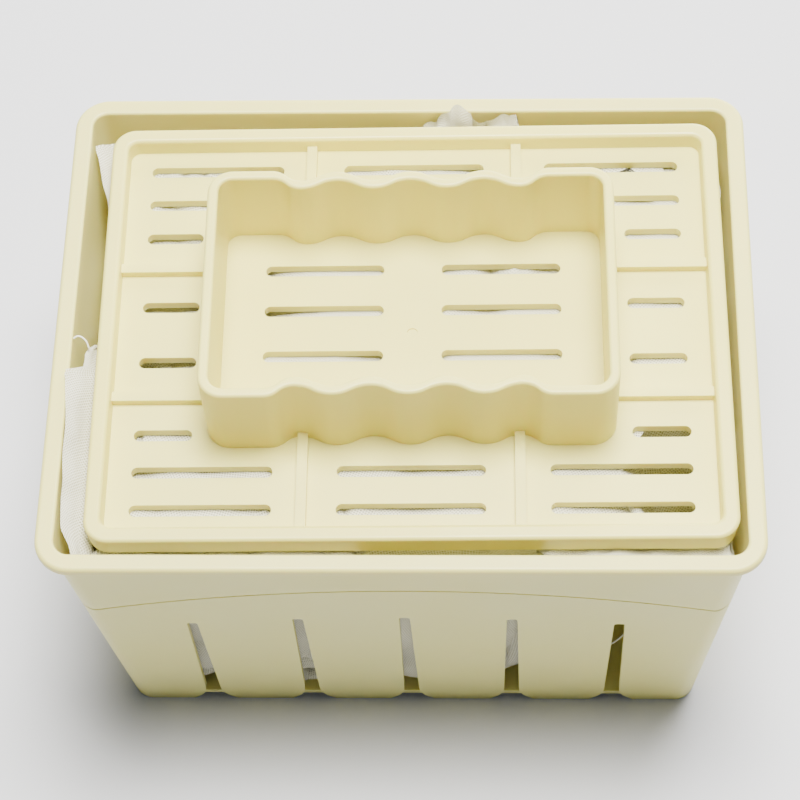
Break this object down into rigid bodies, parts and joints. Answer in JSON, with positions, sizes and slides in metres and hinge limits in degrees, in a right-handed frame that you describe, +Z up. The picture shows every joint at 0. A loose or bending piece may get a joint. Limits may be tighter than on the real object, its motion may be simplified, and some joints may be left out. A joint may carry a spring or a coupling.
{
  "type": "tabletop cheese mould with press plate",
  "caption": "Slotted rectangular cheese mould with a lift-out slotted press plate, wavy-walled grip cup and cheesecloth liner.",
  "frame": {"origin": "centre of the mould box's footprint, on the surface its feet stand on", "axes": "+X along the long side, +Y along the short side towards the back, +Z up, the way the press plate lifts out"},
  "size_m": [0.13, 0.1024, 0.0935],
  "materials": {
    "box_plastic": "satin cream polypropylene, slightly translucent",
    "plate_plastic": "satin cream polypropylene, slightly translucent",
    "cloth": "open plain-weave white cotton"
  },
  "bodies": {
    "mould": {"mould_box": "box_plastic"},
    "cloth": {"cheesecloth": "cloth"},
    "press": {"press_plate": "plate_plastic"}
  },
  "joints": [
    {"name": "cloth_lift", "type": "slide", "parent": "mould", "child": "cloth", "axis": [0, 0, 1], "range_m": [0, 0.09]},
    {"name": "press_slide", "type": "slide", "parent": "cloth", "child": "press", "axis": [0, 0, 1], "range_m": [-0.014, 0.018], "deforming": ["cheesecloth"]}
  ]
}
